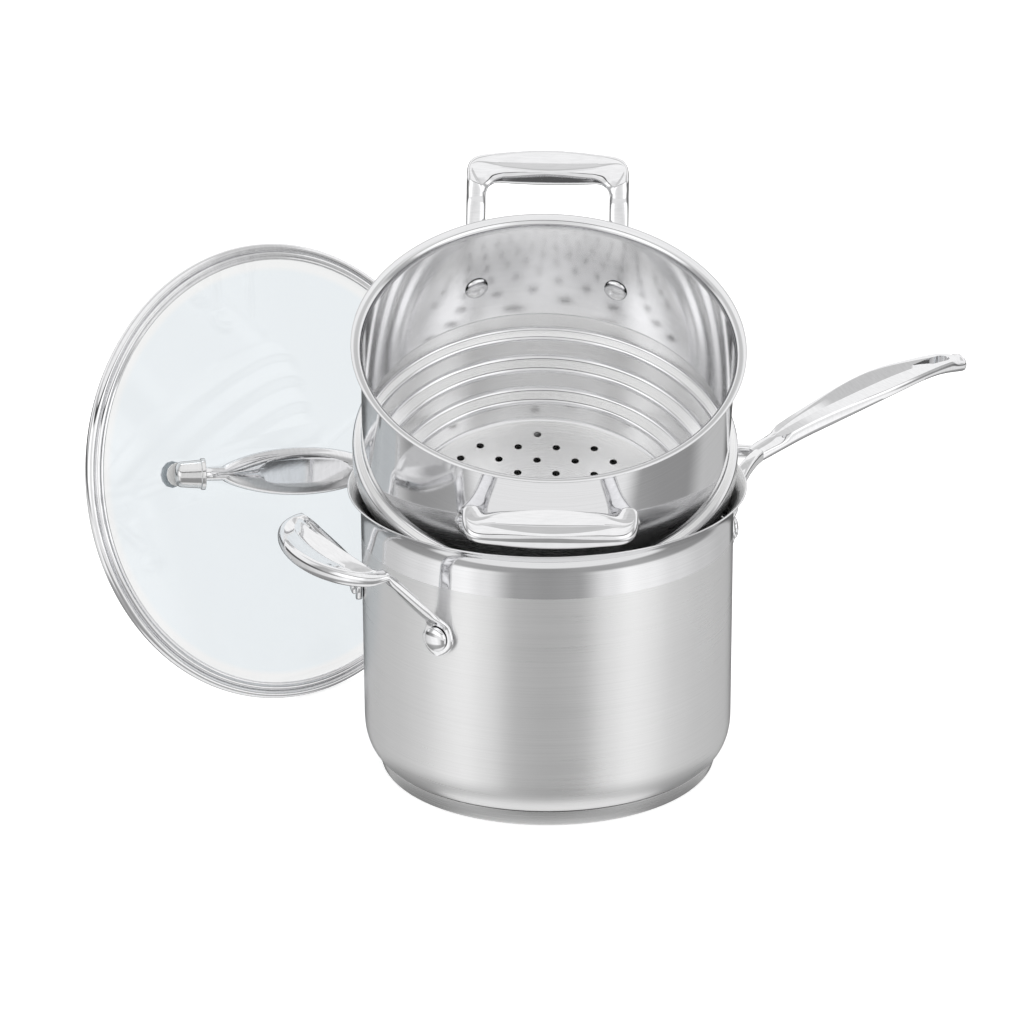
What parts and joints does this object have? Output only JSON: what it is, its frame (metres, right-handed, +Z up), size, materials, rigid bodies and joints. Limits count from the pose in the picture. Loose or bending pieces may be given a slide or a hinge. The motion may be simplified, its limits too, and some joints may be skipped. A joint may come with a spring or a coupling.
{
  "type": "saucepan with steamer",
  "caption": "Tall stainless saucepan with a flared rim, a long handle and a helper handle, a stepped steamer insert leaning in its mouth, and a glass lid standing behind it.",
  "frame": {"origin": "centre of the saucepan's underside, on the face that it stands on", "axes": "+Z up along the saucepan's axis, +X along the long handle towards its tip"},
  "size_m": [0.475, 0.3802, 0.3149],
  "materials": {
    "pan_steel": "satin stainless steel brushed around the body, polished at the flared rim",
    "core_aluminium": "plain rolled aluminium",
    "base_steel": "brushed stainless steel, turned rings on the underside",
    "handle_steel": "mirror-polished cast stainless steel",
    "rivet_steel": "polished stainless steel",
    "steamer_steel": "polished stainless steel walls, steps and floor brushed in rings",
    "lid_glass": "clear tempered glass",
    "band_steel": "polished stainless steel strip",
    "lid_handle_steel": "mirror-polished cast stainless steel",
    "ferrule_steel": "turned and polished stainless steel",
    "silicone": "translucent white silicone",
    "washer_steel": "plain stainless steel",
    "screw_steel": "plain stainless steel"
  },
  "bodies": {
    "saucepan": {"saucepan_shell": "pan_steel", "base_core": "core_aluminium", "base_capsule": "base_steel", "long_handle": "handle_steel", "long_handle_rivet_near": "rivet_steel", "long_handle_rivet_far": "rivet_steel", "helper_handle": "handle_steel", "helper_rivet_near": "rivet_steel", "helper_rivet_far": "rivet_steel"},
    "steamer": {"steamer_shell": "steamer_steel", "steamer_handle_front": "handle_steel", "steamer_handle_rear": "handle_steel", "steamer_rivet_front_left": "rivet_steel", "steamer_rivet_front_right": "rivet_steel", "steamer_rivet_rear_left": "rivet_steel", "steamer_rivet_rear_right": "rivet_steel"},
    "lid": {"lid_glass": "lid_glass", "lid_rim_band": "band_steel", "lid_handle": "lid_handle_steel", "lid_ferrule_left": "ferrule_steel", "lid_ferrule_right": "ferrule_steel", "lid_gasket_left": "silicone", "lid_gasket_right": "silicone", "lid_washer_left": "washer_steel", "lid_washer_right": "washer_steel", "lid_screw_left": "screw_steel", "lid_screw_right": "screw_steel"}
  },
  "joints": [
    {"name": "steamer_lift", "type": "slide", "parent": "saucepan", "child": "steamer", "axis": [0, 0, 1], "range_m": [0, 0.2]},
    {"name": "lid_lift", "type": "slide", "parent": "saucepan", "child": "lid", "axis": [0, 0, 1], "range_m": [0, 0.35]}
  ]
}
